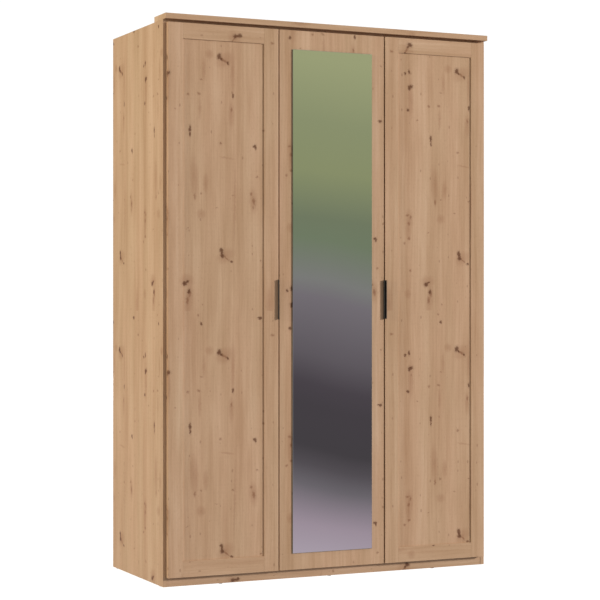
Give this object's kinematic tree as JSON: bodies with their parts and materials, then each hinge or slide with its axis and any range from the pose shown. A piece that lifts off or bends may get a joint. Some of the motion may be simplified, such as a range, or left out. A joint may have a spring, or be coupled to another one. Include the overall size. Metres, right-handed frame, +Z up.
{
  "type": "wardrobe",
  "caption": "Tall free-standing wardrobe in wood decor with side-hung framed doors, a central mirror door, slim edge pulls and a cornice strip.",
  "frame": {"origin": "on the floor, under the middle of the wardrobe's overall box", "axes": "+Z up, -Y out of the doors, +X to the right as seen from the front"},
  "size_m": [1.35, 0.588, 2.086],
  "materials": {
    "oak_board": "oak decor with upright grain, satin",
    "oak_across": "oak decor with the grain running across, satin",
    "oak_inside": "oak decor on the horizontal boards, satin",
    "hardboard_back": "thin printed hardboard, matt",
    "back_profile": "extruded plastic",
    "mirror_glass": "silvered float glass",
    "foam_tape": "foam mounting tape",
    "handle_metal": "matt dark powder coat",
    "chromed_steel": "bright",
    "beech_dowel": "plain beech",
    "zinc_die_cast": "zinc die casting",
    "nickel_steel": "nickel plated",
    "fastener_steel": "zinc plated",
    "glide_plastic": "moulded",
    "buffer_rubber": "soft, translucent"
  },
  "bodies": {
    "carcass": {"side_panel_left": "oak_board", "side_panel_right": "oak_board", "partition_panel": "oak_board", "top_panel": "oak_inside", "bottom_panel": "oak_inside", "plinth_front": "oak_across", "plinth_rear": "oak_across", "cornice": "oak_across", "back_sheet_left": "hardboard_back", "back_sheet_middle": "hardboard_back", "back_sheet_right": "hardboard_back", "back_joint_profile": "back_profile", "back_sheet_nails": "fastener_steel", "shelf_1": "oak_inside", "shelf_2": "oak_inside", "shelf_3": "oak_inside", "shelf_4": "oak_inside", "hat_shelf": "oak_inside", "hanging_rail": "chromed_steel", "rail_sockets": "chromed_steel", "shelf_pins": "fastener_steel", "cam_locks": "zinc_die_cast", "cam_bolts": "zinc_die_cast", "dowels": "beech_dowel", "floor_glides": "glide_plastic", "door_buffers": "buffer_rubber", "hinge_plates": "nickel_steel", "hinge_arms": "nickel_steel", "plate_screws": "fastener_steel", "wall_brackets": "fastener_steel", "carcass_screws": "fastener_steel"},
    "door_left": {"door_1_stile_left": "oak_board", "door_1_stile_right": "oak_board", "door_1_rail_top": "oak_across", "door_1_rail_bottom": "oak_across", "door_1_panel": "oak_board", "door_1_screws": "fastener_steel", "hinge_cups_1": "nickel_steel", "hinge_pins_1": "fastener_steel", "handle_1": "handle_metal"},
    "door_middle": {"door_2_leaf": "oak_board", "mirror": "mirror_glass", "mirror_tape": "foam_tape", "door_2_screws": "fastener_steel", "hinge_cups_2": "nickel_steel", "hinge_pins_2": "fastener_steel", "handle_2": "handle_metal"},
    "door_right": {"door_3_stile_left": "oak_board", "door_3_stile_right": "oak_board", "door_3_rail_top": "oak_across", "door_3_rail_bottom": "oak_across", "door_3_panel": "oak_board", "door_3_screws": "fastener_steel", "hinge_cups_3": "nickel_steel", "hinge_pins_3": "fastener_steel", "handle_3": "handle_metal"}
  },
  "joints": [
    {"name": "door_left_hinge", "type": "hinge", "parent": "carcass", "child": "door_left", "pos_m": [-0.65575, -0.2775, 1.044], "axis": [0, 0, -1], "range_deg": [0, 95]},
    {"name": "door_middle_hinge", "type": "hinge", "parent": "carcass", "child": "door_middle", "pos_m": [-0.21208, -0.2775, 1.044], "axis": [0, 0, -1], "range_deg": [0, 95]},
    {"name": "door_right_hinge", "type": "hinge", "parent": "carcass", "child": "door_right", "pos_m": [0.65575, -0.2775, 1.044], "axis": [0, 0, 1], "range_deg": [0, 95]}
  ]
}
